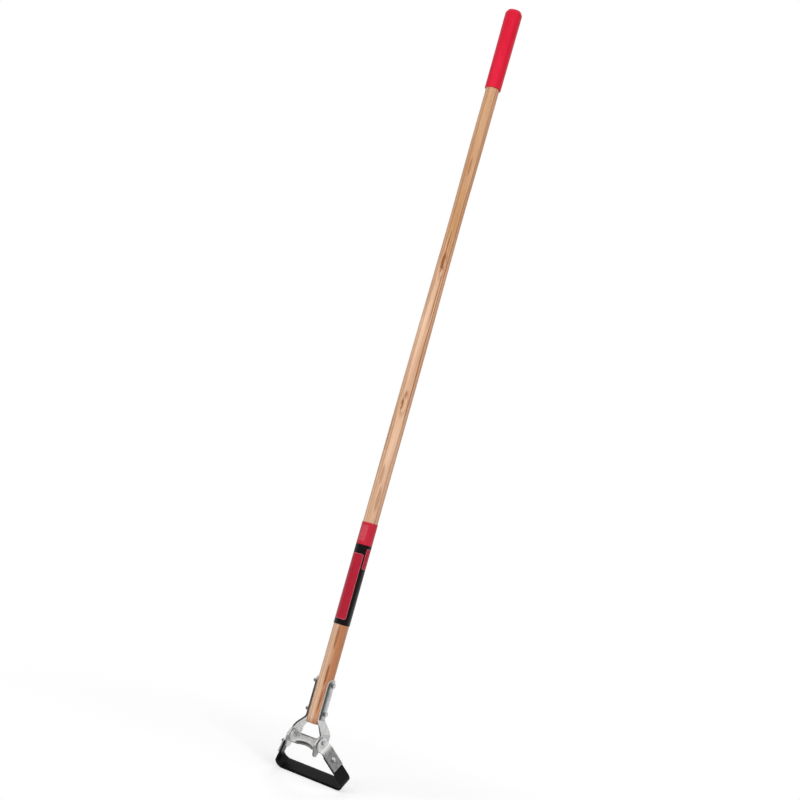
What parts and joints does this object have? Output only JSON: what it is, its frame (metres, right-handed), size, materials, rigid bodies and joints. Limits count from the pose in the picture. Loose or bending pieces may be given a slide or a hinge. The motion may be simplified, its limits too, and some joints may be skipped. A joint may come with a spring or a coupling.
{
  "type": "action hoe",
  "caption": "Long-handled action hoe: a swinging stirrup blade pivoted in a forked steel yoke on a tapered ash handle with a vinyl grip.",
  "frame": {"origin": "middle of the blade's flat underside, at rest", "axes": "+Z along the handle towards the grip, +X along the blade and its pivot, +Y to the side that the blade hangs to"},
  "size_m": [0.1464, 0.0815, 1.4721],
  "materials": {
    "ash_wood": "clear lacquered ash with brown grain",
    "red_vinyl": "soft red vinyl, slightly glossy",
    "printed_film": "black and red printed film",
    "zinc_steel": "bright zinc plating",
    "zinc_fasteners": "bright zinc plating",
    "black_steel": "satin black enamel"
  },
  "bodies": {
    "handle_and_yoke": {"handle": "ash_wood", "grip": "red_vinyl", "label_sleeve": "printed_film", "yoke_strap_left": "zinc_steel", "yoke_strap_right": "zinc_steel", "handle_bolt_lower": "zinc_fasteners", "handle_bolt_upper": "zinc_fasteners", "handle_nut_lower": "zinc_fasteners", "handle_nut_upper": "zinc_fasteners"},
    "stirrup": {"stirrup_bridge": "zinc_steel", "side_arm_left": "zinc_steel", "side_arm_right": "zinc_steel", "pivot_bolt_left": "zinc_fasteners", "pivot_bolt_right": "zinc_fasteners", "pivot_nut_left": "zinc_fasteners", "pivot_nut_right": "zinc_fasteners", "pivot_washer_left": "zinc_fasteners", "pivot_washer_right": "zinc_fasteners", "blade_rivet_left": "zinc_fasteners", "blade_rivet_right": "zinc_fasteners", "blade": "black_steel"}
  },
  "joints": [
    {"name": "stirrup_swing", "type": "hinge", "parent": "handle_and_yoke", "child": "stirrup", "pos_m": [0, -0.05401, 0.06685], "axis": [1, 0, 0], "range_deg": [0, 20]}
  ]
}
